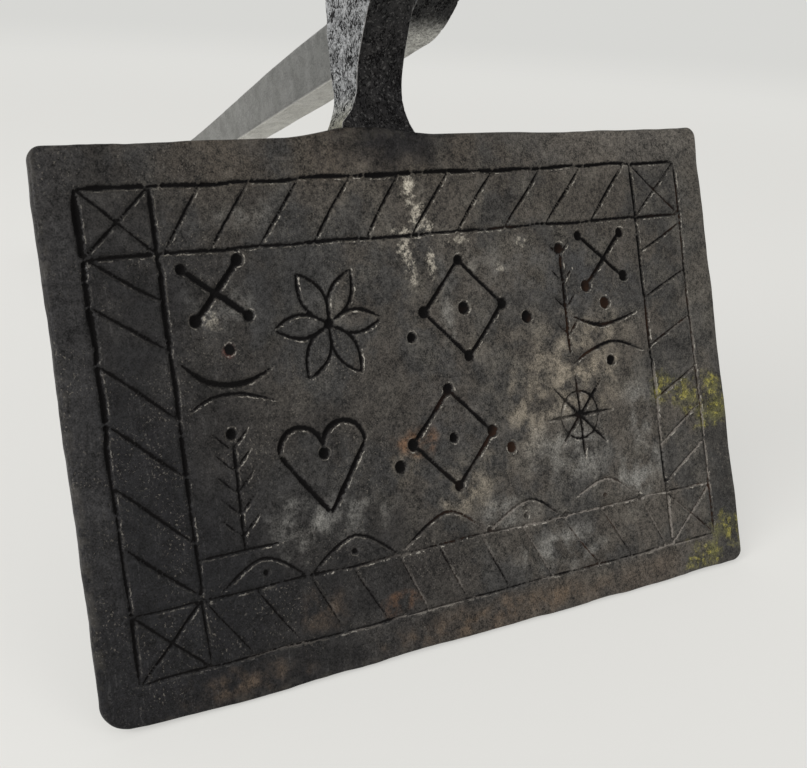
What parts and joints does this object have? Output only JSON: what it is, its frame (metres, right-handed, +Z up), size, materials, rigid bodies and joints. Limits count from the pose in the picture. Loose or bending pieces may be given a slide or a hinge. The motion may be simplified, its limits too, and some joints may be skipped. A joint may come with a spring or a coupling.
{
  "type": "hearth waffle iron",
  "caption": "Hand-forged hearth waffle iron: two carved rectangular plates on crossing long-handled tongs, riveted at the neck, with a closing link.",
  "frame": {"origin": "centre of the bounding box, on the floor that the iron stands on", "axes": "+Z up, +X along the pivot rivet and the plates' long sides, to the right seen from in front of the lower plate's carved face, +Y away from that viewer, towards the resting rein"},
  "size_m": [0.182, 0.4704, 0.4838],
  "materials": {
    "plate_iron": "blackened by fat and smoke, brown at the rims",
    "neck_iron": "pitted grey forge scale",
    "rein_iron": "grey, handled smooth",
    "rivet_iron": "hammered, bright on the high spots"
  },
  "bodies": {
    "lower_half": {"lower_plate": "plate_iron", "lower_neck": "neck_iron", "lower_rein": "rein_iron", "pivot_rivet": "rivet_iron", "rivet_rove": "rivet_iron"},
    "upper_half": {"upper_plate": "plate_iron", "upper_neck": "neck_iron", "upper_rein": "rein_iron"},
    "closing_link": {"closing_link": "rein_iron"}
  },
  "joints": [
    {"name": "plate_hinge", "type": "hinge", "parent": "lower_half", "child": "upper_half", "pos_m": [0, -0.0889, 0.14925], "axis": [-1, 0, 0], "range_deg": [-91.4, 34]},
    {"name": "link_swing", "type": "hinge", "parent": "lower_half", "child": "closing_link", "pos_m": [0, 0.02537, 0.47383], "axis": [1, 0, 0], "range_deg": [-6, 324]}
  ]
}
